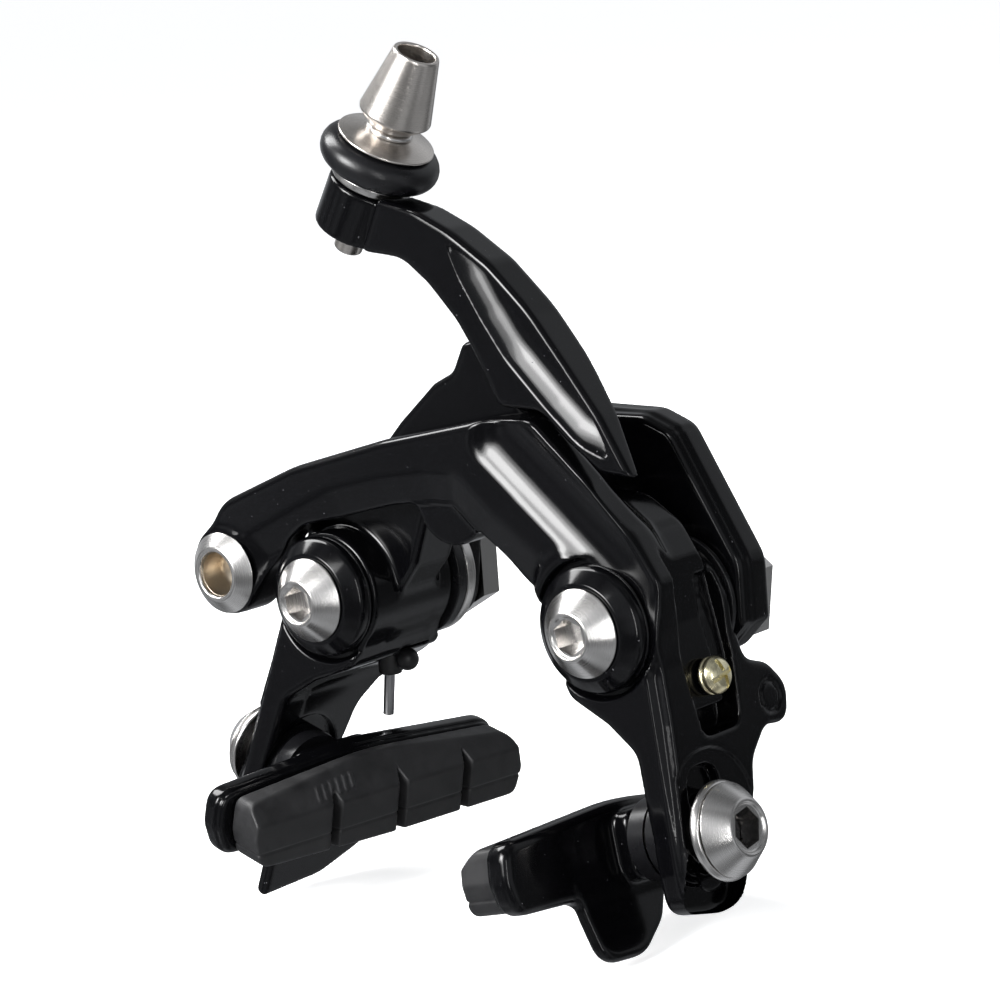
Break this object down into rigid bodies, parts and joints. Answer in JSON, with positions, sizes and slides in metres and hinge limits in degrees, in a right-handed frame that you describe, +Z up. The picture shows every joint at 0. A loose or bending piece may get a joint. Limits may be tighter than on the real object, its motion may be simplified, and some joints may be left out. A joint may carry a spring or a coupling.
{
  "type": "rim brake caliper",
  "caption": "Direct-mount rim brake caliper: two crossed pivoting arms on a bridge plate, cable anchor, barrel adjuster with rubber-ringed nut, spring return and cartridge pads.",
  "frame": {"origin": "midway between the two pivots, on the plane of the hexagonal flanges that seats on the frame or fork bosses", "axes": "+Y along the pivots from the bolt heads back to the frame, +Z up, away from the pads, +X to the right of a viewer in front of the brake"},
  "size_m": [0.1097, 0.063, 0.1366],
  "materials": {
    "gloss_black": "gloss black anodised and coated forging",
    "satin_black": "satin black",
    "polished_steel": "polished, turned",
    "nickel": "satin nickel plate, turned",
    "spring_wire": "drawn wire",
    "rubber": "smooth moulded rubber",
    "pad_rubber": "matt moulded brake compound",
    "guide_plastic": "moulded black plastic",
    "yellow_zinc": "yellow zinc plate",
    "bronze": "sintered bronze"
  },
  "bodies": {
    "frame_side": {"bridge_plate": "gloss_black", "left_pivot_bolt": "polished_steel", "left_pivot_axle": "polished_steel", "left_cone_washer": "gloss_black", "left_dust_ring": "satin_black", "right_pivot_bolt": "polished_steel", "right_pivot_axle": "polished_steel", "right_cone_washer": "gloss_black", "right_dust_ring": "satin_black", "left_rear_seal": "satin_black", "left_thrust_washer": "polished_steel", "right_rear_seal": "satin_black"},
    "anchor_arm": {"anchor_arm": "gloss_black", "anchor_sleeve": "polished_steel", "cable_clamp_washer": "polished_steel", "cable_clamp_bolt": "polished_steel", "link_pin": "polished_steel", "centring_screw": "yellow_zinc", "right_bush": "bronze", "right_return_spring": "spring_wire", "right_spring_guide": "guide_plastic", "right_pad_bolt": "polished_steel", "right_outer_washer": "polished_steel", "right_ball_washer": "satin_black", "right_cup_washer": "satin_black", "right_pad_holder": "gloss_black", "right_pad_insert": "pad_rubber", "right_insert_screw": "polished_steel"},
    "barrel_arm": {"barrel_arm": "gloss_black", "barrel_washer": "polished_steel", "left_bush": "bronze", "left_return_spring": "spring_wire", "left_spring_guide": "guide_plastic", "left_pad_bolt": "polished_steel", "left_outer_washer": "polished_steel", "left_ball_washer": "satin_black", "left_cup_washer": "satin_black", "left_pad_holder": "gloss_black", "left_pad_insert": "pad_rubber", "left_insert_screw": "polished_steel"},
    "link_roller": {"link_roller": "polished_steel"},
    "thumb_nut": {"thumb_nut": "nickel", "grip_ring": "rubber"},
    "barrel": {"barrel": "nickel"}
  },
  "joints": [
    {"name": "anchor_arm_pivot", "type": "hinge", "parent": "frame_side", "child": "anchor_arm", "pos_m": [0.028, 0, 0], "axis": [0, 1, 0], "range_deg": [0, 15.5], "stiffness_Nm_per_rad": 0.8, "springref_deg": -51.57},
    {"name": "barrel_arm_pivot", "type": "hinge", "parent": "frame_side", "child": "barrel_arm", "pos_m": [-0.028, 0, 0], "axis": [0, 1, 0], "range_deg": [-15.5, 0], "stiffness_Nm_per_rad": 0.8, "springref_deg": 51.57},
    {"name": "link_roller_spin", "type": "hinge", "parent": "anchor_arm", "child": "link_roller", "pos_m": [-0.001, -0.0235, 0.017], "axis": [0, 1, 0], "continuous": true},
    {"name": "thumb_nut_turn", "type": "hinge", "parent": "barrel_arm", "child": "thumb_nut", "pos_m": [-0.0238, -0.025, 0.0552], "axis": [0.5075, 0, 0.8616], "range_deg": [-1440, 0]},
    {"name": "barrel_slide", "type": "slide", "parent": "barrel_arm", "child": "barrel", "axis": [0.5075, 0, 0.8616], "range_m": [0, 0.004]}
  ],
  "couplings": [
    {"joint": "barrel_arm_pivot", "follows": "anchor_arm_pivot", "ratio": -1},
    {"joint": "thumb_nut_turn", "follows": "barrel_slide", "rad_per_m": -6283.2}
  ]
}
